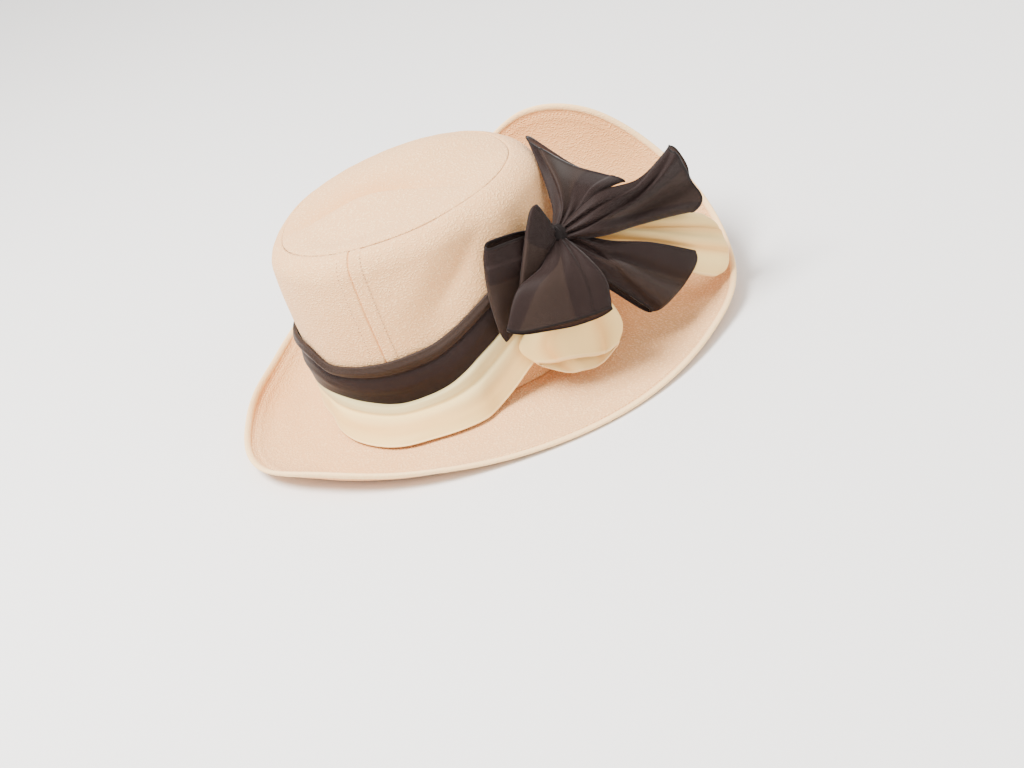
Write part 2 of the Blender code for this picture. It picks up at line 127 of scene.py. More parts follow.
# Brim sections: width as a share of BRIM_WIDTH, slopes at the root and at the edge in degrees, and
# how late the slope turns
Brim = namedtuple("Brim", "angle width root_slope edge_slope lateness")
BRIM_SECTIONS = [
    Brim(0, 0.82, -18, 45, 1.3),
    Brim(18, 0.91, 8, 63, 1.3),
    Brim(34, 1.02, 32, 85, 1.3),
    Brim(50, 0.99, 42, 88, 1.3),
    Brim(66, 0.83, 38, 86, 1.3),
    Brim(85, 0.68, 28, 78, 1.3),
    Brim(110, 0.57, 12, 63, 1.3),
    Brim(132, 0.49, 0, 52, 1.4),
    Brim(152, 0.46, -13, 62, 2.0),
    Brim(167, 0.49, -18, 70, 2.5),
    Brim(182, 0.505, -15.5, 53, 2.5),
    Brim(205, 0.59, -14, 36, 2.0),
    Brim(228, 0.61, -15, 66, 2.5),
    Brim(250, 0.59, -15, 52, 2.5),
    Brim(270, 0.57, -13, 22, 2.0),
    Brim(300, 0.62, -13.5, 12, 1.5),
    Brim(330, 0.68, -14, 18, 1.3),
    Brim(345, 0.76, -17, 31, 1.3),
]

# Sash at each angle: the brown band's top and lower edge and the cream band's lift off the brim as
# shares of CROWN_HEIGHT, and the cream band's reach over the brim as a share of SASH_FLARE
Sash = namedtuple("Sash", "angle top low reach lift")
SASH_SECTIONS = [
    Sash(0, 0.51, 0.33, 0.30, 0.00),
    Sash(40, 0.46, 0.25, 0.22, 0.00),
    Sash(90, 0.42, 0.21, 0.22, 0.00),
    Sash(135, 0.43, 0.22, 0.24, 0.00),
    Sash(180, 0.47, 0.19, 0.26, 0.00),
    Sash(200, 0.46, 0.19, 0.30, 0.00),
    Sash(212, 0.37, 0.18, 0.58, 0.00),
    Sash(225, 0.36, 0.155, 0.84, 0.00),
    Sash(240, 0.37, 0.13, 1.00, 0.00),
    Sash(252, 0.39, 0.150, 0.89, 0.00),
    Sash(262, 0.41, 0.185, 0.83, 0.00),
    Sash(270, 0.45, 0.24, 0.72, 0.00),
    Sash(276, 0.49, 0.29, 0.50, 0.01),
    Sash(283, 0.54, 0.34, 0.42, 0.06),
    Sash(293, 0.60, 0.41, 0.42, 0.15),
    Sash(306, 0.66, 0.46, 0.36, 0.19),
    Sash(321, 0.68, 0.48, 0.32, 0.19),
    Sash(338, 0.60, 0.42, 0.30, 0.10),
]

# Dents pressed into the crown's side: place, then depth as a share of DENT_DEPTH, and its reach
# along and across its own direction as shares of CROWN_HEIGHT, with the direction from level
Dent = namedtuple("Dent", "angle height depth along across heading")
SIDE_DENTS = [
    Dent(279, 0.74, 1.00, 0.24, 0.085, 40),
    Dent(266, 0.50, 0.50, 0.17, 0.10, 62),
    Dent(256, 0.86, 0.45, 0.16, 0.13, 0),
    Dent(291, 0.60, -0.40, 0.22, 0.10, 50),
    Dent(20, 0.70, 0.50, 0.25, 0.15, 20),
]

# Dents in the tip: place and reach as shares of HEAD_LENGTH and HEAD_WIDTH
TipDent = namedtuple("TipDent", "ahead side depth along across heading")
TIP_DENTS = [
    TipDent(-0.05, -0.20, 1.30, 0.36, 0.16, 4),
    TipDent(-0.26, -0.04, 0.60, 0.14, 0.22, 0),
    TipDent(0.12, 0.20, -0.55, 0.30, 0.16, 0),
]

# Loops of the bow, each a row for a section: its place from the bow's middle, half-width and
# half-depth as shares of LOOP_REACH, and the way that its front panel faces: round the hat, up, and
# its roll. A cone is open at its far end, and a ribbon is folded there and open along its sides.
# The front lip is drawn back by a share of the length or width, towards one side of the panel. The
# mouth is the share of its depth that the far end keeps, the pleats are a share of the depth too, and
# the rounding is the share of the length by which the far corners fall short.
Fold = namedtuple("Fold", "ahead side up half_width half_depth faces tilt roll")
Loop = namedtuple("Loop", "name finish kind lip lean mouth pleats rounding crease crease_at dip folds")
LOOPS = [
    Loop("loop_upper", "brown", "cone", 0.16, -1, 0.7, 0.5, 0.09, 0.5, 0.1, 0.06, [
        Fold(0.13, 0.13, 0.10, 0.11, 0.040, 268, 30, -20),
        Fold(0.22, 0.31, 0.20, 0.22, 0.055, 265, 31, -34),
        Fold(0.31, 0.57, 0.26, 0.39, 0.080, 263, 32, -43),
    ]),
    Loop("loop_front", "brown", "cone", 0.20, 1, 1.0, 0.6, 0.10, 0.8, -0.2, -0.05, [
        Fold(0.29, 0.03, 0.03, 0.135, 0.048, 272, 20, 80),
        Fold(0.55, 0.18, -0.04, 0.145, 0.055, 275, 20, 70),
        Fold(0.79, 0.32, -0.06, 0.195, 0.065, 280, 20, 80),
        Fold(0.95, 0.41, -0.07, 0.245, 0.060, 284, 20, 90),
    ]),
    Loop("loop_side", "brown", "ribbon", 0.08, -1, 0.4, 0.5, 0.09, 0.9, 0.1, -0.02, [
        Fold(0.20, -0.04, -0.205, 0.12, 0.040, 275, 35, 30),
        Fold(0.39, -0.03, -0.35, 0.205, 0.050, 275, 38, 24),
        Fold(0.66, 0.04, -0.62, 0.275, 0.055, 278, 40, 30),
    ]),
    Loop("loop_lower", "brown", "cone", 0.08, 1, 0.4, 0.4, 0.06, 0.3, 0.3, -0.02, [
        Fold(-0.025, -0.215, -0.09, 0.145, 0.042, 276, 32, -12),
        Fold(-0.10, -0.345, -0.18, 0.28, 0.055, 280, 34, -17),
        Fold(-0.19, -0.425, -0.385, 0.34, 0.060, 282, 36, -12),
    ]),
    Loop("loop_fold", "brown", "ribbon", 0.06, 1, 0.8, 0.3, 0.32, 0.0, 0.0, 0.0, [
        Fold(-0.10, -0.11, 0.02, 0.16, 0.022, 300, 10, 60),
        Fold(-0.17, -0.155, 0.035, 0.26, 0.025, 295, 10, 60),
        Fold(-0.255, -0.205, 0.05, 0.36, 0.030, 290, 10, 59),
    ]),
    Loop("loop_back", "brown", "ribbon", 0.10, 1, 0.9, 0.3, 0.07, 0.2, 0.0, -0.02, [
        Fold(-0.17, -0.08, -0.06, 0.17, 0.030, 305, 4, 72),
        Fold(-0.31, -0.175, -0.09, 0.26, 0.034, 297, 5, 76),
        Fold(-0.52, -0.275, -0.12, 0.33, 0.042, 288, 6, 82),
    ]),
    Loop("loop_cream_lower", "cream", "cone", 0.22, -0.3, 0.35, 0.7, 0.10, 0.4, 0.4, -0.03, [
        Fold(-0.05, -0.10, -0.25, 0.13, 0.045, 290, 18, -12),
        Fold(-0.06, -0.19, -0.42, 0.24, 0.060, 284, 22, -12),
        Fold(-0.13, -0.25, -0.58, 0.34, 0.070, 282, 30, -11),
        Fold(-0.10, -0.32, -0.76, 0.18, 0.055, 278, 40, -6),
    ]),
    Loop("loop_cream_front", "cream", "ribbon", 0.06, 1, 0.5, 1.3, 0.13, 0.6, 0.2, -0.05, [
        Fold(0.30, 0.19, -0.175, 0.11, 0.040, 285, 40, 70),
        Fold(0.57, 0.27, -0.33, 0.15, 0.050, 282, 42, 72),
        Fold(0.83, 0.32, -0.49, 0.22, 0.065, 280, 44, 74),
        Fold(1.03, 0.38, -0.61, 0.23, 0.060, 280, 44, 76),
    ]),
]

# Tucks, where one part of a front panel laps over the next along a line from the knot to the far end:
# the line's share across the panel at each end, and how high it laps, as a share of the half-depth;
# above zero the side towards -1 is on top
Tuck = namedtuple("Tuck", "near far height")
TUCKS = {
    "loop_upper": [Tuck(-0.35, -0.72, -0.45), Tuck(0.40, 0.72, -0.35)],
    "loop_front": [Tuck(-0.45, 0.95, 0.75), Tuck(0.15, 1.35, 0.45)],
    "loop_side": [Tuck(0.45, -0.80, -0.60), Tuck(-0.30, -0.95, 0.20)],
    "loop_lower": [Tuck(0.30, 0.62, 0.22)],
    "loop_back": [Tuck(0.10, 0.55, 0.40)],
    "loop_cream_lower": [Tuck(0.10, 0.62, 0.30), Tuck(-0.10, -0.55, -0.25)],
    "loop_cream_front": [Tuck(0.25, 0.45, 0.55), Tuck(-0.35, -0.25, -0.50)],
}


# Shape of the hat, as the model has it

@functools.lru_cache(maxsize=None)
def brim_reading(column, angle):
    return reading(BRIM_SECTIONS, column, angle)


@functools.lru_cache(maxsize=None)
def sash_reading(column, angle):
    return reading(SASH_SECTIONS, column, angle)


def reading(rows, column, angle):
    """A smooth value of one column at any angle, from rows that go once round the head."""
    count = len(rows)
    angle = (angle - rows[0].angle) % 360 + rows[0].angle
    first = max(index for index in range(count) if rows[index].angle <= angle)

    def knot(index):
        row = rows[index % count]
        return row.angle + 360 * (index // count), getattr(row, column)

    (a0, v0), (a1, v1), (a2, v2), (a3, v3) = (knot(first + step) for step in (-1, 0, 1, 2))
    return hermite((angle - a1) / (a2 - a1), a0, v0, a1, v1, a2, v2, a3, v3)


def hermite(t, a0, v0, a1, v1, a2, v2, a3, v3):
    """A cubic between v1 and v2 whose slopes come from the neighbours."""
    start = (v2 - v0) / (a2 - a0) * (a2 - a1)
    end = (v3 - v1) / (a3 - a1) * (a2 - a1)
    return ((2 * t ** 3 - 3 * t ** 2 + 1) * v1 + (t ** 3 - 2 * t ** 2 + t) * start
            + (3 * t ** 2 - 2 * t ** 3) * v2 + (t ** 3 - t ** 2) * end)


def smooth_step(t):
    t = min(max(t, 0.0), 1.0)
    return t * t * (3 - 2 * t)


def bump(away, reach):
    """1 at a line and falling softly to 0 beyond its reach."""
    return math.exp(-(away / reach) ** 2)


def root_point(angle):
    """The point of the head oval where crown and brim meet, and the way out from it."""
    along, across = math.cos(math.radians(angle)), math.sin(math.radians(angle))
    out = Vector((along / HEAD_LENGTH, across / HEAD_WIDTH, 0)).normalized()
    return Vector((HEAD_LENGTH / 2 * along, HEAD_WIDTH / 2 * across, ROOT_HEIGHT)), out


WALL_HEIGHT = CROWN_HEIGHT - SHOULDER_RADIUS * math.sin(math.radians(SHOULDER_TURN))


def press(dent, away_along, away_up, size):
    """How deep one dent is at a distance from its middle."""
    turn = math.radians(dent.heading)
    along = away_along * math.cos(turn) + away_up * math.sin(turn)
    across = away_up * math.cos(turn) - away_along * math.sin(turn)
    reach = (along / (dent.along * size)) ** 2 + (across / (dent.across * size)) ** 2
    return DENT_DEPTH * dent.depth * math.exp(-reach)


def arc_from(angle, other):
    """The distance round the head from one angle to another."""
    turn = (angle - other + 180) % 360 - 180
    return math.radians(turn) * (HEAD_LENGTH + HEAD_WIDTH) / 4


def side_dent(angle, height):
    depth = 0.0
    for dent in SIDE_DENTS:
        depth += press(dent, arc_from(angle, dent.angle), height - dent.height * CROWN_HEIGHT, CROWN_HEIGHT)
    return depth * smooth_step(height / (0.45 * CROWN_HEIGHT))


def side_point(angle, height, stand=0.0):
    """A point at a height above the root, and a stand-off outside the crown's side."""
    over = max(height - WALL_HEIGHT, 0.0) / SHOULDER_RADIUS
    turn = math.asin(min(over, math.sin(math.radians(SHOULDER_TURN))))
    ahead = math.cos(math.radians(angle))
    rounding = (1 - math.cos(turn)) / (1 - math.cos(math.radians(SHOULDER_TURN)))
    inset = SHOULDER_RADIUS * (1 - math.cos(turn)) + SHOULDER_LEAD * rounding * max(ahead, 0.0)
    if height < WALL_HEIGHT:
        inset -= SIDE_BELLY * math.sin(math.pi * max(height, 0.0) / WALL_HEIGHT)
    inset += side_dent(angle, height)
    share = height / CROWN_HEIGHT
    point, out = root_point(angle)
    rise = TIP_RISE * ahead + FAR_RISE * smooth_step(math.sin(math.radians(angle)))
    lean = Vector((-CROWN_LEAN * share, 0, height + rise * share))
    return point + lean + out * math.cos(turn) * stand - out * inset + Vector((0, 0, math.sin(turn) * stand))


def tip_point(angle, share):
    """A point of the tip, at a share of the way from its middle to its seam."""
    middle = Vector((-CROWN_LEAN, 0, ROOT_HEIGHT + CROWN_HEIGHT))
    point = middle.lerp(side_point(angle, CROWN_HEIGHT), share)
    point.z += TIP_DOME * (1 - share ** 2)
    away = 1 - smooth_step((share - 0.72) / 0.28)
    for dent in TIP_DENTS:
        ahead = point.x + CROWN_LEAN - dent.ahead * HEAD_LENGTH
        side = point.y - dent.side * HEAD_WIDTH
        point.z -= away * press(dent, ahead, side, HEAD_LENGTH)
    return point


def brim_width(angle):
    return BRIM_WIDTH * brim_reading("width", angle)


def brim_point(angle, distance, lift=0.0):
    """A point at a distance out along the brim's upper face, lifted off it or sunk below it."""
    width = brim_width(angle)
    root_slope = brim_reading("root_slope", angle)
    edge_slope = brim_reading("edge_slope", angle)
    lateness = brim_reading("lateness", angle)
    steps = 12
    step = distance / steps
    out_by = up_by = 0.0
    for index in range(steps):
        done = (index + 0.5) * step / width
        slope = math.radians(root_slope + (edge_slope - root_slope) * done ** lateness)
        out_by += math.cos(slope) * step
        up_by += math.sin(slope) * step
    end = math.radians(root_slope + (edge_slope - root_slope) * min(distance / width, 1.0) ** lateness)
    point, out = root_point(angle)
    point = point + out * (out_by - math.sin(end) * lift)
    point.z += up_by + math.cos(end) * lift
    point.z = max(point.z, BRIM_CLOTH + lift, 0.0)
    return point


def brown_stand(share, side):
    """How far the brown band stands off the crown: share 0 at its top; side 0 inside and 1 outside."""
    over = smooth_step(share / 0.6)
    ridge = bump(share - 0.10, 0.08) - 0.35 * bump(share - 0.30, 0.07) + 0.4 * bump(share - 0.62, 0.12)
    return GAP + over * (SASH_CLOTH + GAP) + side * (SASH_CLOTH + SASH_ROLL * ridge)


def cream_point(angle, share):
    """A point of the cream band's outer face: share 0 where it comes out and 1 at its hem."""
    low = CROWN_HEIGHT * sash_reading("low", angle)
    if share < 0:
        return side_point(angle, low - share * SASH_TUCK, GAP + SASH_CLOTH)
    reach = SASH_FLARE * sash_reading("reach", angle)
    lift = CROWN_HEIGHT * max(sash_reading("lift", angle), 0.0)
    start = side_point(angle, low, GAP + SASH_CLOTH)
    end = brim_point(angle, reach, GAP + SASH_CLOTH) + Vector((0, 0, lift))
    run = end - start
    out = root_point(angle)[1]
    normal = Vector((-run.z * out.x, -run.z * out.y, run.dot(out))).normalized()
    normal = normal.lerp(out, 1 - smooth_step(share / 0.2)).normalized()
    flare = smooth_step(reach / SASH_FLARE)
    belly = SASH_BELLY * flare * math.sin(math.pi * share)
    ridge = SASH_ROLL * (bump(share - 0.16, 0.09) - 0.7 * bump(share - 0.34, 0.09))
    return start + run * share + normal * (belly + ridge * flare)


def bow_point(proud):
    """The middle of the knot, which sits on the brown band, or a point that far outside it."""
    top = sash_reading("top", BOW_ANGLE)
    low = sash_reading("low", BOW_ANGLE)
    share = (top - BOW_HEIGHT / CROWN_HEIGHT) / (top - low)
    return side_point(BOW_ANGLE, BOW_HEIGHT, brown_stand(share, 1) + GAP + KNOT_RADIUS + proud)


def facing(fold):
    """Two directions of a section: across its panel and out of its front."""
    turn, tilt = math.radians(fold.faces), math.radians(fold.tilt)
    front = Vector((math.cos(tilt) * math.cos(turn), math.cos(tilt) * math.sin(turn), math.sin(tilt)))
    level = Vector((-math.sin(turn), math.cos(turn), 0))
    across = Matrix.Rotation(math.radians(-fold.roll), 3, -front) @ level
    return across, front


def way_out(fold):
    return Vector((fold.ahead, fold.side, fold.up)).normalized()


def gathered(fold):
    """The gathered end of a loop, laid against the knot on the way to the loop's first section."""
    knot, bow = bow_point(0.0), bow_point(BOW_PROUD)
    way = (bow + Vector((fold.ahead, fold.side, fold.up)) * LOOP_REACH - knot).normalized()
    place = (knot + way * KNOT_RADIUS * GATHER_DEEP - bow) / LOOP_REACH
    return fold._replace(ahead=place.x, side=place.y, up=place.z, half_width=GATHER_WIDTH / 2 / LOOP_REACH,
                         half_depth=GATHER_DEPTH / 2 / LOOP_REACH)


def between(folds, place):
    """A section at any place along a loop, read smoothly from the rows."""
    first = min(int(place), len(folds) - 2)
    before = folds[max(first - 1, 0)]
    after = folds[min(first + 2, len(folds) - 1)]
    columns = zip(before, folds[first], folds[first + 1], after)
    return Fold(*(hermite(place - first, -1, v0, 0, v1, 1, v2, 2, v3) for v0, v1, v2, v3 in columns))


def middle(node):
    """The middle of a node's box."""
    low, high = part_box(node)
    return (Vector(low) + Vector(high)) / 2


# Where the head oval's middle stands in the frame
HAT = middle("bow_knot") - bow_point(0.0)


# Cloth

def streaks(u, v, seed):
    """A smooth unevenness from -1 to 1, the same each run."""
    return noise.noise(Vector((u, v, 7.3 * seed)))


def cloth(name, point, grid, flat, finish, wall, wrap=False, marks=None, hem=None, turn=False):
    """A sheet of cloth: a flat grid moved point by point, with its flat size in metres in its UV map.

    marks are named masks for the material and hem is the one along which the wall is thickest.
    """
    mesh = bmesh.new()
    chart = mesh.loops.layers.uv.new("cloth")
    bmesh.ops.create_grid(mesh, x_segments=grid[0], y_segments=grid[1], size=0.5, calc_uvs=True)
    marks = dict(marks or {})
    layers = {key: mesh.verts.layers.float.new(key) for key in marks}
    for vertex in mesh.verts:
        u, v = vertex.co.x + 0.5, vertex.co.y + 0.5
        for key, mark in marks.items():
            vertex[layers[key]] = mark(u, v)
        vertex.co = HAT + point(u, v)
    for face in mesh.faces:
        for corner in face.loops:
            corner[chart].uv.x *= flat[0]
            corner[chart].uv.y *= flat[1]
    if wrap:
        bmesh.ops.remove_doubles(mesh, verts=mesh.verts, dist=WELD)
    if turn:
        bmesh.ops.recalc_face_normals(mesh, faces=mesh.faces)
    piece = finished(name, mesh, finish)
    solidify = piece.modifiers.new("wall", "SOLIDIFY")
    solidify.offset = -1.0
    solidify.thickness = wall
    solidify.use_even_offset = False
    if hem:
        group = piece.vertex_groups.new(name="hem")
        for vertex, value in zip(piece.data.vertices, piece.data.attributes[hem].data):
            if value.value > 0:
                group.add([vertex.index], value.value, "REPLACE")
        solidify.thickness = CHIFFON_HEM
        solidify.thickness_vertex_group = wall / CHIFFON_HEM
        solidify.vertex_group = "hem"
        solidify.offset = 0.0
    return piece


def finished(name, mesh, finish):
    data = bpy.data.meshes.new(name)
    mesh.to_mesh(data)
    mesh.free()
    data.shade_smooth()
    data.materials.append(FINISHES[finish])
    piece = bpy.data.objects.new(name, data)
    bpy.context.scene.collection.objects.link(piece)
    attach(piece, "root")
    return piece


# Materials

def node(tree, kind, place, **values):
    made = tree.nodes.new(kind)
    made.location = place
    for key, value in values.items():
        setattr(made, key, value)
    return made


def sockets(group, inputs, outputs):
    for name, kind, value in inputs:
        made = group.interface.new_socket(name=name, in_out="INPUT", socket_type=kind)
        made.default_value = value
    for name, kind in outputs:
        group.interface.new_socket(name=name, in_out="OUTPUT", socket_type=kind)


def crepe_group():
    """Pebbled crepe: irregular grains with darker pits painted in as shade, a soft unevenness of the dye, and
    a warm colour mixed in as painted shade.
    """
    group = bpy.data.node_groups.new("pebbled crepe", "ShaderNodeTree")
    sockets(group, [
        ("Face", "NodeSocketColor", (*CREPE_PALE, 1)),
        ("Pit", "NodeSocketColor", (*CREPE_PIT_SHADE, 1)),
        ("Warm", "NodeSocketColor", (*CREPE_PAINTED_SHADE, 1)),
        ("Tint_and_painted_light", "NodeSocketFloat", 0.0),
        ("Grains per metre", "NodeSocketFloat", 820.0),
    ], [("Color", "NodeSocketColor"), ("Height", "NodeSocketFloat")])
    start = node(group, "NodeGroupInput", (-1200, 0))
    end = node(group, "NodeGroupOutput", (700, 0))
    place = node(group, "ShaderNodeTexCoord", (-1200, -300))
    stretch = node(group, "ShaderNodeMapping", (-1000, -300))
    stretch.inputs["Scale"].default_value = (0.75, 0.75, 1.15)
    drift = node(group, "ShaderNodeTexNoise", (-800, -500), noise_dimensions="3D")
    drift.inputs["Scale"].default_value = 500.0
    drift.inputs["Detail"].default_value = 2.0
    bend = node(group, "ShaderNodeVectorMath", (-600, -500), operation="MULTIPLY_ADD")
    bend.inputs[1].default_value = (0.0016, 0.0016, 0.0016)
    grains = node(group, "ShaderNodeTexVoronoi", (-400, -300), feature="SMOOTH_F1")
    grains.inputs["Smoothness"].default_value = 0.6
    fine = node(group, "ShaderNodeTexNoise", (-400, -600))
    fine.inputs["Scale"].default_value = 2600.0
    fine.inputs["Detail"].default_value = 3.0
    dome = node(group, "ShaderNodeMapRange", (-180, -300), interpolation_type="SMOOTHSTEP")
    dome.inputs["From Min"].default_value = 0.08
    dome.inputs["From Max"].default_value = 0.62
    dome.inputs["To Min"].default_value = 1.0
    dome.inputs["To Max"].default_value = 0.0
    height = node(group, "ShaderNodeMath", (20, -450), operation="MULTIPLY_ADD")
    height.inputs[1].default_value = 0.22
    wide = node(group, "ShaderNodeTexNoise", (-400, 250))
    wide.inputs["Scale"].default_value = 22.0
    wide.inputs["Detail"].default_value = 3.0
    uneven = node(group, "ShaderNodeMapRange", (-180, 250))
    uneven.inputs["To Min"].default_value = 0.25
    uneven.inputs["To Max"].default_value = -0.15
    # Pale on the grains and darker in the pits between them, which is painted shade, shifted by the dye's soft
    # unevenness
    pit_shade_and_tone = node(group, "ShaderNodeMath", (0, 0), operation="SUBTRACT", use_clamp=True)
    shade = node(group, "ShaderNodeMix", (220, 150), data_type="RGBA")
    warmed = node(group, "ShaderNodeMix", (440, 150), data_type="RGBA")
    link = group.links.new
    link(place.outputs["Object"], stretch.inputs["Vector"])
    link(stretch.outputs["Vector"], drift.inputs["Vector"])
    link(drift.outputs["Color"], bend.inputs[0])
    link(stretch.outputs["Vector"], bend.inputs[2])
    link(bend.outputs["Vector"], grains.inputs["Vector"])
    link(start.outputs["Grains per metre"], grains.inputs["Scale"])
    link(place.outputs["Object"], fine.inputs["Vector"])
    link(place.outputs["Object"], wide.inputs["Vector"])
    link(grains.outputs["Distance"], dome.inputs["Value"])
    link(fine.outputs["Fac"], height.inputs[0])
    link(dome.outputs["Result"], height.inputs[2])
    link(wide.outputs["Fac"], uneven.inputs["Value"])
    link(dome.outputs["Result"], pit_shade_and_tone.inputs[0])
    link(uneven.outputs["Result"], pit_shade_and_tone.inputs[1])
    link(pit_shade_and_tone.outputs["Value"], shade.inputs["Factor"])
    link(start.outputs["Pit"], shade.inputs["A"])
    link(start.outputs["Face"], shade.inputs["B"])
    # The warm colour is painted shade, mixed in by the share that the attribute gives
    link(start.outputs["Tint_and_painted_light"], warmed.inputs["Factor"])
    link(shade.outputs["Result"], warmed.inputs["A"])
    link(start.outputs["Warm"], warmed.inputs["B"])
    link(warmed.outputs["Result"], end.inputs["Color"])
    link(height.outputs["Value"], end.inputs["Height"])
    return group


def chiffon_group():
    """Fine sheer weave that follows the cloth, closer and darker where it is hemmed."""
    group = bpy.data.node_groups.new("chiffon weave", "ShaderNodeTree")
    sockets(group, [
        ("Cloth", "NodeSocketColor", (*BROWN, 1)),
        ("Hem", "NodeSocketColor", (*BROWN_HEM, 1)),
        ("Lying over", "NodeSocketColor", (*BROWN, 1)),
        ("Warm", "NodeSocketColor", (*BROWN_PAINTED_GLOW, 1)),
        ("Closeness", "NodeSocketFloat", 0.6),
        ("Weave turns per metre", "NodeSocketFloat", 2 * math.pi * THREADS_PER_METRE),
    ], [("Color", "NodeSocketColor"), ("Alpha", "NodeSocketFloat"), ("Height", "NodeSocketFloat")])
    start = node(group, "NodeGroupInput", (-1000, 0))
    end = node(group, "NodeGroupOutput", (700, 0))
    chart = node(group, "ShaderNodeUVMap", (-1000, -300), uv_map="cloth")
    split = node(group, "ShaderNodeSeparateXYZ", (-800, -300))
    waves = []
    for index, axis in enumerate("XY"):
        times = node(group, "ShaderNodeMath", (-600, -250 - 180 * index), operation="MULTIPLY")
        wave = node(group, "ShaderNodeMath", (-420, -250 - 180 * index), operation="SINE")
        group.links.new(split.outputs[axis], times.inputs[0])
        group.links.new(start.outputs["Weave turns per metre"], times.inputs[1])
        group.links.new(times.outputs["Value"], wave.inputs[0])
        waves.append(wave)
    weave = node(group, "ShaderNodeMath", (-220, -300), operation="MULTIPLY")
    soft = node(group, "ShaderNodeTexNoise", (-420, -700))
    soft.inputs["Scale"].default_value = 60.0
    soft.inputs["Detail"].default_value = 3.0
    place = node(group, "ShaderNodeTexCoord", (-620, -700))
    height = node(group, "ShaderNodeMath", (0, -400), operation="MULTIPLY_ADD")
    height.inputs[1].default_value = 0.25
    hem = node(group, "ShaderNodeAttribute", (-420, 300), attribute_name="hem")
    # Lying over more cloth, with a painted shadow beside the bow on the cream; and a warm colour for painted
    # shade in the cream's folds and a painted glow inside the brown loops
    over = node(group, "ShaderNodeAttribute", (-420, 500), attribute_name="over")
    tint_and_painted_light = node(group, "ShaderNodeAttribute", (-420, 700), attribute_name="tint_and_painted_light")
    tint = node(group, "ShaderNodeMix", (-200, 350), data_type="RGBA")
    warmed = node(group, "ShaderNodeMix", (0, 350), data_type="RGBA")
    edged = node(group, "ShaderNodeMix", (240, 250), data_type="RGBA")
    uneven = node(group, "ShaderNodeMath", (0, -50), operation="MULTIPLY_ADD")
    uneven.inputs[1].default_value = 0.06
    closed = node(group, "ShaderNodeMath", (240, -50), operation="MULTIPLY_ADD", use_clamp=True)
    closed.inputs[1].default_value = 0.5
    link = group.links.new
    link(chart.outputs["UV"], split.inputs["Vector"])
    link(waves[0].outputs["Value"], weave.inputs[0])
    link(waves[1].outputs["Value"], weave.inputs[1])
    link(place.outputs["Object"], soft.inputs["Vector"])
    link(soft.outputs["Fac"], height.inputs[2])
    link(weave.outputs["Value"], height.inputs[0])
    link(over.outputs["Fac"], tint.inputs["Factor"])
    link(start.outputs["Cloth"], tint.inputs["A"])
    link(start.outputs["Lying over"], tint.inputs["B"])
    link(tint_and_painted_light.outputs["Fac"], warmed.inputs["Factor"])
    link(tint.outputs["Result"], warmed.inputs["A"])
    link(start.outputs["Warm"], warmed.inputs["B"])
    link(hem.outputs["Fac"], edged.inputs["Factor"])
    link(warmed.outputs["Result"], edged.inputs["A"])
    link(start.outputs["Hem"], edged.inputs["B"])
    link(weave.outputs["Value"], uneven.inputs[0])
    link(start.outputs["Closeness"], uneven.inputs[2])
    link(hem.outputs["Fac"], closed.inputs[0])
    link(uneven.outputs["Value"], closed.inputs[2])
    link(edged.outputs["Result"], end.inputs["Color"])
    link(closed.outputs["Value"], end.inputs["Alpha"])
    link(height.outputs["Value"], end.inputs["Height"])
    return group


def plain_material(name, roughness, sheen=0.0, sheen_roughness=0.5):
    made = bpy.data.materials.new(name)
    made.use_nodes = True
    shader = made.node_tree.nodes["Principled BSDF"]
    shader.inputs["Roughness"].default_value = roughness
    shader.inputs["Sheen Weight"].default_value = sheen
    shader.inputs["Sheen Roughness"].default_value = sheen_roughness
    return made, shader


def effect(made, group, place, **values):
    placed = node(made.node_tree, "ShaderNodeGroup", place)
    placed.node_tree = group
    for key, value in values.items():
        placed.inputs[key.replace("_", " ")].default_value = value
    return placed


def raised(made, shader, height, depth, strength):
    """Joins a height to the shader through a Bump node."""
    lift = node(made.node_tree, "ShaderNodeBump", (-260, -300))
    lift.inputs["Distance"].default_value = depth
    lift.inputs["Strength"].default_value = strength
    made.node_tree.links.new(height, lift.inputs["Height"])
    made.node_tree.links.new(lift.outputs["Normal"], shader.inputs["Normal"])


def crepe_material(name, group, face, pit_shade, depth):
    made, shader = plain_material(name, 0.88, 0.12, 0.4)
    placed = effect(made, group, (-600, 0), Face=(*face, 1), Pit=(*pit_shade, 1))
    # Per point, how much of the warm colour is painted in as shade, over a slight even warm tint
    tint_and_painted_light = node(made.node_tree, "ShaderNodeAttribute", (-850, -100), attribute_name="tint_and_painted_light")
    made.node_tree.links.new(tint_and_painted_light.outputs["Fac"], placed.inputs["Tint_and_painted_light"])
    made.node_tree.links.new(placed.outputs["Color"], shader.inputs["Base Color"])
    raised(made, shader, placed.outputs["Height"], depth, 0.9)
    return made


def chiffon_material(name, group, colours, closeness, sheen):
    """Chiffon in four colours: the cloth, its hem, where it lies over more cloth, also used for a painted
    shadow beside the bow, and a warm colour for painted shade and glow.
    """
    made, shader = plain_material(name, 0.62, sheen, 0.35)
    shader.inputs["Specular IOR Level"].default_value = 0.15
    own, hemmed, over, warm = ((*colour, 1) for colour in colours)
    placed = effect(made, group, (-600, 0), Cloth=own, Hem=hemmed, Lying_over=over, Warm=warm,
                    Closeness=closeness)
    made.node_tree.links.new(placed.outputs["Color"], shader.inputs["Base Color"])
    made.node_tree.links.new(placed.outputs["Alpha"], shader.inputs["Alpha"])
    raised(made, shader, placed.outputs["Height"], 0.00010, 0.3)
    return made


def thread_material():
    made, shader = plain_material("thread", 0.7)
    shader.inputs["Base Color"].default_value = (*THREAD, 1)
    return made


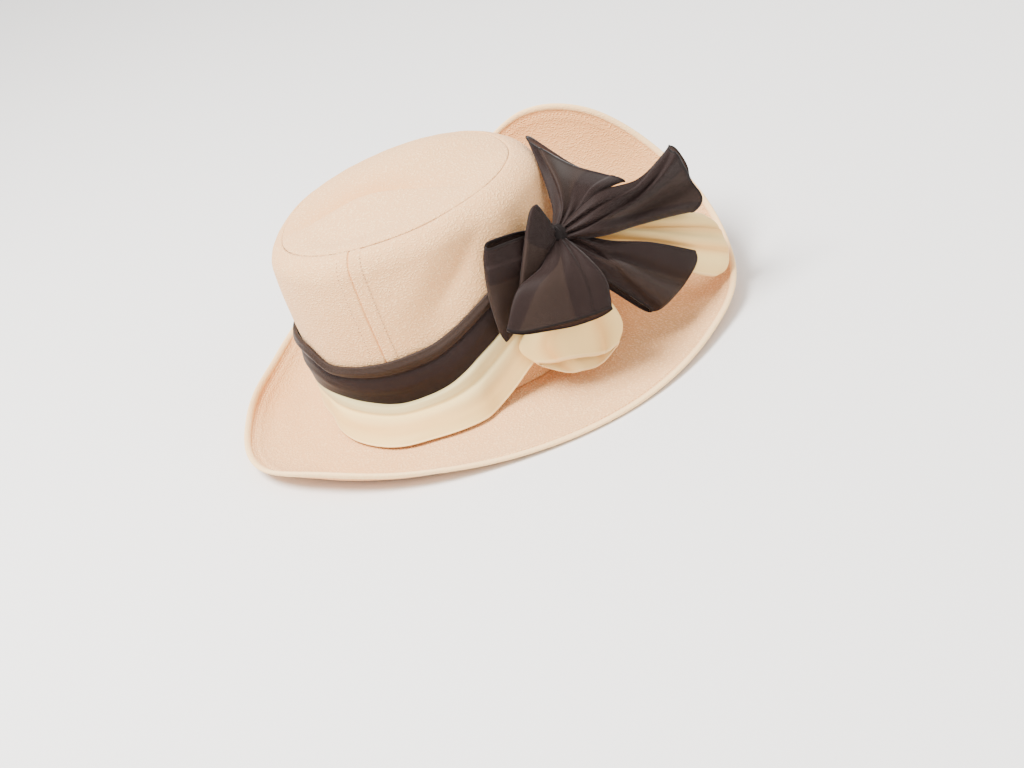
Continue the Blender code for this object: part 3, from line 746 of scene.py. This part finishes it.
def floor_material():
    made, shader = plain_material("pale floor", 0.75)
    tone = node(made.node_tree, "ShaderNodeTexNoise", (-600, 0))
    tone.inputs["Scale"].default_value = 3.0
    place = node(made.node_tree, "ShaderNodeTexCoord", (-800, 0))
    blend = node(made.node_tree, "ShaderNodeMix", (-300, 0), data_type="RGBA")
    blend.inputs["A"].default_value = (*FLOOR_PALE, 1)
    blend.inputs["B"].default_value = (*(0.985 * tone_value for tone_value in FLOOR_PALE), 1)
    made.node_tree.links.new(place.outputs["Object"], tone.inputs["Vector"])
    made.node_tree.links.new(tone.outputs["Fac"], blend.inputs["Factor"])
    made.node_tree.links.new(blend.outputs["Result"], shader.inputs["Base Color"])
    return made


def finishes():
    pebbled, weave = crepe_group(), chiffon_group()
    return {
        "crepe": crepe_material("crepe", pebbled, CREPE_PALE, CREPE_PIT_SHADE, 0.00045),
        "hem": crepe_material("crepe hem", pebbled, HEM_PALE, CREPE_PALE, 0.0002),
        "thread": thread_material(),
        "brown": chiffon_material("brown chiffon", weave,
                                  (BROWN, BROWN_HEM, BROWN_SHEER, BROWN_PAINTED_GLOW), 0.90, 0.12),
        "cream": chiffon_material("cream chiffon", weave,
                                  (CREAM, CREAM_HEM, CREAM_GREY, CREAM_PAINTED_SHADE), 0.90, 0.15),
        "floor": floor_material(),
    }


FINISHES = finishes()


# Crown

SHOULDER_RUN = SHOULDER_RADIUS * math.radians(SHOULDER_TURN)
SIDE_RUN = BRIM_CLOTH + WALL_HEIGHT + SHOULDER_RUN


def side_height(run):
    """The height above the root at a distance along the side's profile."""
    if run <= WALL_HEIGHT:
        return run
    return WALL_HEIGHT + SHOULDER_RADIUS * math.sin((run - WALL_HEIGHT) / SHOULDER_RADIUS)


# The narrow valley in the deepest dent of the side
PINCH = Dent(281, 0.73, 0.50, 0.17, 0.030, 42)


def side_angle(u):
    """The angle at a share of the way round from the seam, with the steps closest at the seam."""
    return SEAM_ANGLE + 360 * (u - 0.92 * math.sin(2 * math.pi * u) / (2 * math.pi))


def pinch_depth(angle, run):
    above = side_height(run) - PINCH.height * CROWN_HEIGHT
    return press(PINCH, arc_from(angle, PINCH.angle), above, CROWN_HEIGHT)


def side_relief(angle, run):
    """The side's seam with its pressed allowances, its turned edge and the cloth's soft unevenness."""
    away = arc_from(angle, SEAM_ANGLE)
    seam = -SEAM_DEPTH * bump(away, SEAM_WIDTH)
    seam += 0.0004 * (1 - smooth_step((abs(away) - SEAM_ALLOWANCE + 0.001) / 0.002))
    edge = -0.0003 * (1 - smooth_step((WALL_HEIGHT + SHOULDER_RUN - run) / 0.0015))
    around = math.radians(angle)
    soft = 0.0007 * noise.noise(Vector((2.2 * math.cos(around), 2.2 * math.sin(around), 26 * run)))
    crisp = 0.00025 * noise.noise(Vector((9 * math.cos(around), 9 * math.sin(around), 60 * run)))
    return seam + edge + soft + crisp - pinch_depth(angle, run)


def side_cloth(u, v):
    angle = side_angle(u)
    run = v * SIDE_RUN - BRIM_CLOTH
    return side_point(angle, side_height(run), side_relief(angle, run))


def side_tint_and_painted_shade(u, v):
    """Painted shade: warmer down the seam's groove and in the pinch."""
    angle = side_angle(u)
    run = v * SIDE_RUN - BRIM_CLOTH
    seam = 0.30 * bump(arc_from(angle, SEAM_ANGLE), SEAM_WIDTH)
    # A slight even warm tint, with painted shade in the seam's groove and in the pinch
    return 0.06 + seam + 0.10 * pinch_depth(angle, run) / DENT_DEPTH


def crown_side():
    piece = cloth("crown_side_cloth", side_cloth, CROWN_GRID, (0.55, SIDE_RUN), "crepe", CROWN_CLOTH,
                  wrap=True, marks={"tint_and_painted_light": side_tint_and_painted_shade})
    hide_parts("crown_side")
    return piece


# The tip's crease: where it starts at the back of the hat, how it bends, and how high its lip stands
CREASE_START = (-0.067, 0.003)
CREASE_BEND = 4.2
CREASE_MIDDLE = -0.032
CREASE_REACH = 0.042
CREASE_LIP = 0.0030


def past_crease(point):
    """How far a point of the tip lies behind its crease, and how strong the crease is there."""
    behind = point.y - CREASE_START[1] + CREASE_BEND * (point.x - CREASE_START[0]) ** 2
    return behind, bump(point.x - CREASE_MIDDLE, CREASE_REACH)


def tip_cloth(u, v):
    angle, share = 360 * u, 1 - v
    point = tip_point(angle, share)
    from_seam = (1 - share) * HEAD_WIDTH / 2
    behind, strength = past_crease(point)
    strength *= CREASE_LIP * smooth_step(from_seam / 0.02)
    lapped = 1 - smooth_step(0.5 + behind / 0.005)
    point.z += strength * (lapped * bump(behind, 0.034) - (1 - lapped) * bump(behind, 0.030))
    point.z -= 0.0003 * (1 - smooth_step(from_seam / 0.0015))
    point.z += 0.0006 * share * (1 - share) * 4 * noise.noise(point * 24)
    if v == 0:
        point -= root_point(angle)[1] * GAP
    return point


def tip_painted_shade(u, v):
    """Painted shade: warmer in the hollow behind the crease."""
    behind, strength = past_crease(tip_point(360 * u, 1 - v))
    return 0.55 * strength * smooth_step(behind / 0.004) * bump(max(behind, 0.0), 0.022)


def crown_tip():
    piece = cloth("crown_tip_cloth", tip_cloth, TIP_GRID, (0.46, 0.08), "crepe", CROWN_CLOTH, wrap=True,
                  marks={"tint_and_painted_light": tip_painted_shade})
    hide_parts("crown_tip")
    return piece


# Brim

def sheet_width(angle):
    return brim_width(angle) - HEM_WIDTH / 2


def brim_relief(angle, from_edge):
    groove = -0.00035 * bump(from_edge - BRIM_STITCH_INSET, 0.0008)
    swell = 0.00035 * bump(from_edge - BRIM_STITCH_INSET - 0.003, 0.0018)
    return groove + swell


def brim_cloth(u, v):
    angle = 360 * u
    width = sheet_width(angle)
    distance = GAP + (width - GAP) * (1 - v)
    from_edge = brim_width(angle) - distance
    around = math.radians(angle)
    soft = noise.noise(Vector((3.2 * math.cos(around), 3.2 * math.sin(around), 30 * distance)))
    lift = brim_relief(angle, from_edge) + 0.0006 * soft * smooth_step(distance / 0.02)
    point = brim_point(angle, distance, lift)
    point.z = max(point.z, BRIM_CLOTH)
    return point


def brim_tint_and_painted_shade(u, v):
    """A slight even warm tint, and painted shade: warmer where the brim turns up high, towards its back on the
    near side, and in its trough.
    """
    angle = 360 * u
    up = smooth_step((brim_reading("edge_slope", angle) - 40) / 45)
    share = 1 - v
    back = 0.22 * bump(arc_from(angle, 190), 0.06) * bump(share - 0.5, 0.35)
    return 0.08 + 0.42 * up * smooth_step((share - 0.25) / 0.75) + 0.10 * bump(share - 0.12, 0.2) + back


def brim():
    piece = cloth("brim_cloth", brim_cloth, BRIM_GRID, (0.80, 0.08), "crepe", BRIM_CLOTH, wrap=True,
                  marks={"tint_and_painted_light": brim_tint_and_painted_shade})
    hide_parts("brim")
    return piece


def hem_point(u, v):
    """A point round the rolled hem, which is slightly puckered along its length."""
    angle, turn = 360 * u, 2 * math.pi * v
    pucker = 1 + 0.10 * streaks(angle * 0.9, 0.0, 1) + 0.05 * streaks(angle * 2.3, 4 * v, 2)
    inward = HEM_WIDTH / 2 * (1 + math.cos(turn))
    lift = (HEM_THICKNESS * math.sin(turn) * pucker - BRIM_CLOTH) / 2
    return brim_point(angle, brim_width(angle) - inward, lift)


def brim_edge():
    mesh = bmesh.new()
    bmesh.ops.create_grid(mesh, x_segments=HEM_GRID[0], y_segments=HEM_GRID[1], size=0.5)
    for vertex in mesh.verts:
        vertex.co = HAT + hem_point(vertex.co.x + 0.5, vertex.co.y + 0.5)
    bmesh.ops.remove_doubles(mesh, verts=mesh.verts, dist=WELD)
    bmesh.ops.recalc_face_normals(mesh, faces=mesh.faces)
    piece = finished("brim_hem", mesh, "hem")
    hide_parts("brim_edge")
    return piece


# Sash

# Shares down each band at which its folded top strip ends
BROWN_STRIP = 0.25
CREAM_STRIP = 0.30
STRIP_LIFT = 0.0010


def strip(share, end):
    """1 on a band's folded top strip and 0 below it, with a crisp edge between."""
    return 1 - smooth_step((share - end) / 0.035 + 0.5)


def brown_cloth(u, v):
    """The brown band's outline goes up its outer face and rolls over inwards at both edges."""
    angle = 360 * u
    top = CROWN_HEIGHT * sash_reading("top", angle)
    low = CROWN_HEIGHT * sash_reading("low", angle)
    share, side, drop = 1 - (v - 0.12) / 0.72, 1.0, 0.0
    if v < 0.12:
        turn = math.pi * (1 - v / 0.12)
        share, side, drop = 1.0, (1 + math.cos(turn)) / 2, 0.0010 * math.sin(turn)
    elif v > 0.84:
        turn = math.pi * (v - 0.84) / 0.16
        share, side, drop = 0.0, (1 + math.cos(turn)) / 2, -0.0016 * math.sin(turn)
    inside, outside = brown_stand(share, 0), brown_stand(share, 1)
    folds = 0.0006 * streaks(angle / 30, 4.5 * share, 3) + 0.0002 * streaks(angle / 14, 9 * share, 4)
    folds *= math.sin(math.pi * min(max(share, 0.0), 1.0))
    lap = STRIP_LIFT * strip(share, BROWN_STRIP) - 0.0004 * bump(share - BROWN_STRIP - 0.06, 0.05)
    stand = inside + 0.0002 + side * (outside - inside - 0.0002 + folds + lap)
    return side_point(angle, top + (low - top) * share - drop, stand)


def brown_over(u, v):
    return 0.75 * strip(1 - (v - 0.12) / 0.72, BROWN_STRIP)


def band_brown():
    piece = cloth("band_brown_cloth", brown_cloth, SASH_GRID, (0.58, 0.042), "brown", CHIFFON, wrap=True,
                  marks={"hem": lambda u, v: 0.0, "over": brown_over, "tint_and_painted_light": lambda u, v: 0.0})
    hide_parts("band_brown")
    return piece


def cream_cloth(u, v):
    angle, share = 360 * u, 1 - 1.12 * v
    point = cream_point(angle, share)
    out = root_point(angle)[1]
    near_bow = bump(arc_from(angle, 272), 0.03)
    folds = 0.0006 * streaks(angle / 24, 5 * share, 5) + 0.0003 * streaks(angle / 12, 9 * share, 6)
    folds += 0.0012 * near_bow * math.sin(15 * share) * (1 - share)
    lap = STRIP_LIFT * strip(share, CREAM_STRIP) - 0.0004 * bump(share - CREAM_STRIP - 0.06, 0.05)
    raised_by = (folds * (1 - 0.6 * share) + lap) * smooth_step(share / 0.12)
    return point + (out * 0.6 + Vector((0, 0, 0.8))) * raised_by


def cream_over_and_shadow(u, v):
    """Greyer on the folded top strip, where it lies over the brown, and in the folds beside the bow, where the
    grey is painted shadow of the bow.
    """
    share = 1 - 1.12 * v
    near_bow = 0.55 * bump(arc_from(360 * u, 276), 0.026) * (1 - smooth_step((share - 0.55) / 0.2))
    return max(0.62 * strip(share, CREAM_STRIP), near_bow)


def cream_painted_shade(u, v):
    """Painted shade: warmer below the strip, towards the back of the near side."""
    share = 1 - 1.12 * v
    return 0.55 * bump(share - 0.62, 0.22) * (0.35 + 0.65 * bump(arc_from(360 * u, 236), 0.045))


def band_cream():
    last = 1.0 / SASH_GRID[1]
    piece = cloth("band_cream_cloth", cream_cloth, SASH_GRID, (0.60, 0.045), "cream", CHIFFON,
                  wrap=True, hem="hem",
                  marks={"hem": lambda u, v: 1.0 if v < 1.5 * last else 0.0, "over": cream_over_and_shadow,
                         "tint_and_painted_light": cream_painted_shade})
    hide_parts("band_cream")
    return piece


# Bow

def knot_cloth(u, v):
    """The knot: a small ball of chiffon drawn into folds."""
    around, up = 2 * math.pi * u, math.pi * (v - 0.5)
    folds = 1 + 0.10 * math.sin(7 * around + 2 * math.sin(2 * around)) * math.cos(up)
    folds += 0.06 * streaks(3 * math.cos(around), 3 * math.sin(around) + v, 8)
    radius = KNOT_RADIUS * KNOT_DRAWN * folds
    way = Vector((math.cos(around) * math.cos(up), math.sin(around) * math.cos(up), math.sin(up)))
    return bow_point(0.0) + way * radius


def bow_knot():
    piece = cloth("bow_knot_cloth", knot_cloth, (96, 40), (0.05, 0.03), "brown", CHIFFON, wrap=True, turn=True,
                  marks={"hem": lambda u, v: 1.0, "over": lambda u, v: 0.0, "tint_and_painted_light": lambda u, v: 0.0})
    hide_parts("bow_knot")
    return piece


def loop_pleat(loop, share, along, seed):
    """Pleats that fan out from the knot, as a share of the loop's half-depth."""
    drawn = 0.9 * (1 - along) ** 1.5 + 0.12
    fan = math.sin(9.0 * share + 2.0 * seed) + 0.6 * streaks(4.5 * share, 1.3 * along, seed)
    return loop.pleats * drawn * 0.6 * fan * (1 - 0.5 * share ** 2)


def tucked(loop, share, along):
    """How far the tucks raise the front panel: crisp at each line and falling away behind it."""
    raised_by = 0.0
    for tuck in TUCKS.get(loop.name, []):
        away = tuck.near + (tuck.far - tuck.near) * smooth_step(along) - share
        if tuck.height < 0:
            away = -away
        raised_by += abs(tuck.height) * smooth_step(away / 0.07 + 0.5) * bump(max(away, 0.0), 0.45)
    return raised_by * smooth_step(along / 0.12)


def loop_place(loop, folds, share, side, along, depth_share, seed):
    """A point of a loop at a share across its panel, from its back (-1) to its front (+1)."""
    along *= 1 - loop.rounding * abs(share) ** 5
    fold = between(folds, min(along, 1.0) * (len(folds) - 1))
    across, front = facing(fold)
    centre = bow_point(BOW_PROUD) + Vector((fold.ahead, fold.side, fold.up)) * LOOP_REACH
    half_width, half_depth = fold.half_width * LOOP_REACH, fold.half_depth * LOOP_REACH
    onward = front.cross(across)
    onward *= math.copysign(1.0, onward.dot(way_out(fold)))
    deep = half_depth * side * depth_share * (1 - (1 - loop.mouth) * smooth_step((along - 0.5) / 0.5))
    crease = loop.crease * half_depth * smooth_step(along / 0.6)
    deep -= crease * (bump(share - loop.crease_at, 0.28) - 0.5 * bump(share - loop.crease_at + 0.55, 0.25))
    deep += half_depth * loop_pleat(loop, share, along, seed + (0 if side > 0 else 5))
    deep += half_depth * tucked(loop, share, along) * smooth_step(2 * side)
    dip = loop.dip * LOOP_REACH * smooth_step(2 * along - 1) * (1 - share ** 2)
    return centre + across * half_width * share + front * deep - onward * dip


def cone_point(loop, folds, seed):
    def point(u, v):
        turn = 2 * math.pi * u
        share, side = math.cos(turn), math.sin(turn)
        drawn = loop.lip * max(side, 0.0) ** 0.8 * (0.5 + 0.5 * loop.lean * share)
        return loop_place(loop, folds, share, side, v * (1 - drawn), 1.0, seed)
    return point


def ribbon_point(loop, folds, seed):
    def point(u, v):
        share = 2 * v - 1
        if u < 0.42:
            along, side = 0.88 * u / 0.42, 1.0
        elif u > 0.58:
            along, side = 0.88 * (1 - u) / 0.42, -1.0
        else:
            turn = math.pi * (u - 0.42) / 0.16
            along, side = 0.88 + 0.12 * math.sin(turn), math.cos(turn)
        gape = 0.75 * smooth_step((share * loop.lean + 0.1) / 1.1) * smooth_step(along / 0.5)
        depth_share = math.sqrt(max(1 - share ** 2, 0.0)) * (1 - gape) + gape
        drawn = loop.lip * smooth_step((side + 1) / 2) * smooth_step(along / 0.6)
        if share * loop.lean > 0:
            share *= 1 - drawn
        return loop_place(loop, folds, share, side, along, max(depth_share, 0.10), seed)
    return point


def sheer_share(loop, share, along, front):
    """Where a front panel looks lighter: a tall triangle with its tip a third of the way out."""
    if loop.finish != "brown" or not front:
        return 0.0
    half = 0.55 * max(along - 0.25, 0.0) / 0.75
    return 0.55 * smooth_step((half - abs(share + 0.25)) / 0.05 + 0.5) * smooth_step((along - 0.25) / 0.05)


def cream_shade(loop, share, along):
    """Painted orange shade in the folds of the cream loops."""
    if loop.finish != "cream":
        return 0.0
    lines = [tuck.near + (tuck.far - tuck.near) * smooth_step(along) for tuck in TUCKS[loop.name]]
    return min(0.5 * sum(bump(share - line, 0.16) for line in lines) + 0.12, 0.7)


def bow_loop(loop, seed):
    folds = [gathered(loop.folds[0])] + loop.folds
    last = 1.0 / LOOP_GRID[1]
    if loop.kind == "cone":
        point, wrap = cone_point(loop, folds, seed), True

        def place(u, v):
            return math.cos(2 * math.pi * u), v, u < 0.5

        def hem(u, v):
            return 1.0 if v > 1 - 1.5 * last else 0.0
    else:
        point, wrap = ribbon_point(loop, folds, seed), False

        def place(u, v):
            return 2 * v - 1, 1 - abs(2 * u - 1), u < 0.5

        def hem(u, v):
            return 1.0 if abs(v - 0.5) > 0.5 - 1.5 * last else 0.0

    def over(u, v):
        return sheer_share(loop, *place(u, v))

    def tint_and_painted_light(u, v):
        share, along, front = place(u, v)
        # Inside the brown cones, lighter and warmer towards the open end: a painted glow of light
        inside = 0.6 * along ** 3 if loop.finish == "brown" and wrap and not front else 0.0
        return max(inside, cream_shade(loop, share, along))

    piece = cloth(loop.name + "_cloth", point, LOOP_GRID, (0.12, 0.05), loop.finish, CHIFFON,
                  wrap=wrap, turn=wrap, hem="hem",
                  marks={"hem": hem, "over": over, "tint_and_painted_light": tint_and_painted_light})
    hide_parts(loop.name)
    return piece


# Stitches

def stitch_row(mesh, places, out):
    """Short raised threads, each from one place towards the next."""
    for place, onward in places:
        way = (onward - place).normalized()
        up = out(place).normalized()
        side = way.cross(up).normalized()
        turn = Matrix((way, side, side.cross(way))).transposed().to_4x4()
        made = bmesh.ops.create_uvsphere(mesh, u_segments=6, v_segments=5, radius=0.5)
        size = Matrix.Diagonal((STITCH_LENGTH, STITCH_THICK, STITCH_THICK, 1))
        bmesh.ops.transform(mesh, matrix=Matrix.Translation(HAT + place) @ turn @ size, verts=made["verts"])


def brim_stitches():
    """A row of stitches round the brim, a little inside its hem."""
    mesh = bmesh.new()
    count = 380
    line = []
    for index in range(count):
        angle = 360 * index / count
        line.append(brim_point(angle, brim_width(angle) - BRIM_STITCH_INSET, 0.0001))
    places = [(line[index], line[(index + 1) % count]) for index in range(count)]
    stitch_row(mesh, places, lambda place: Vector((0, 0, 1)))
    piece = finished("brim_stitches", mesh, "hem")
    return piece


def side_stitches():
    """Two rows of stitches up the crown, one on each side of its seam."""
    mesh = bmesh.new()
    for row in (-1, 1):
        turn = math.degrees(row * SEAM_ALLOWANCE * 4 / (HEAD_LENGTH + HEAD_WIDTH))
        angle = SEAM_ANGLE + turn
        start, stop = 0.36 * CROWN_HEIGHT, WALL_HEIGHT + SHOULDER_RUN - 0.004
        count = int((stop - start) / STITCH_PITCH)
        for index in range(count):
            runs = [start + STITCH_PITCH * (index + step) for step in (0, 1)]
            points = [side_point(angle, side_height(run), side_relief(angle, run) + 0.0001) for run in runs]
            stitch_row(mesh, [tuple(points)], lambda place: root_point(angle)[1])
    piece = finished("side_stitches", mesh, "thread")
    return piece


# Floor, light and camera

AIM = HAT + Vector((-0.0045, 0, ROOT_HEIGHT))
CAMERA_DISTANCE = 1.15
CAMERA_ELEVATION = 26.0
CAMERA_ROLL = 19.0
CAMERA_LENS = 59.4
FRAME_WIDTH = 1024
AIM_LEFT_OF_MIDDLE = 55
AIM_ABOVE_MIDDLE = 32


def floor():
    mesh = bmesh.new()
    bmesh.ops.create_grid(mesh, x_segments=2, y_segments=2, size=6.0)
    data = bpy.data.meshes.new("floor")
    mesh.to_mesh(data)
    mesh.free()
    data.materials.append(FINISHES["floor"])
    piece = bpy.data.objects.new("floor", data)
    bpy.context.scene.collection.objects.link(piece)


def lamp(name, place, size, energy, colour):
    data = bpy.data.lights.new(name, "AREA")
    data.size = size
    data.energy = energy
    data.color = colour
    made = bpy.data.objects.new(name, data)
    made.location = place
    made.rotation_euler = (AIM - Vector(place)).to_track_quat("-Z", "Y").to_euler()
    bpy.context.scene.collection.objects.link(made)


def light():
    world = bpy.data.worlds.new("soft room")
    world.use_nodes = True
    world.node_tree.nodes["Background"].inputs["Color"].default_value = (1.0, 0.98, 0.96, 1)
    world.node_tree.nodes["Background"].inputs["Strength"].default_value = 1.45
    bpy.context.scene.world = world
    lamp("key", (-0.9, -0.3, 1.9), 1.0, 150.0, (1.0, 0.985, 0.96))
    lamp("side", (1.4, -1.2, 1.2), 1.2, 12.0, (1.0, 0.97, 0.94))


def camera():
    elevation, roll = math.radians(CAMERA_ELEVATION), math.radians(CAMERA_ROLL)
    back = Vector((0, -math.cos(elevation), math.sin(elevation)))
    right = Vector((1, 0, 0))
    up = back.cross(right)
    level = right * math.cos(roll) - up * math.sin(roll)
    upright = up * math.cos(roll) + right * math.sin(roll)
    data = bpy.data.cameras.new("camera")
    data.lens = CAMERA_LENS
    data.shift_x = AIM_LEFT_OF_MIDDLE / FRAME_WIDTH
    data.shift_y = -AIM_ABOVE_MIDDLE / FRAME_WIDTH
    made = bpy.data.objects.new("camera", data)
    turn = Matrix((level, upright, back)).transposed().to_4x4()
    made.matrix_world = Matrix.Translation(AIM + back * CAMERA_DISTANCE) @ turn
    bpy.context.scene.collection.objects.link(made)
    bpy.context.scene.camera = made


floor()
light()
camera()
side, tip, brim_piece, hem = crown_side(), crown_tip(), brim(), brim_edge()
brown_band, cream_band, knot = band_brown(), band_cream(), bow_knot()
loops = [bow_loop(loop, seed) for seed, loop in enumerate(LOOPS)]
brim_rows, side_rows = brim_stitches(), side_stitches()
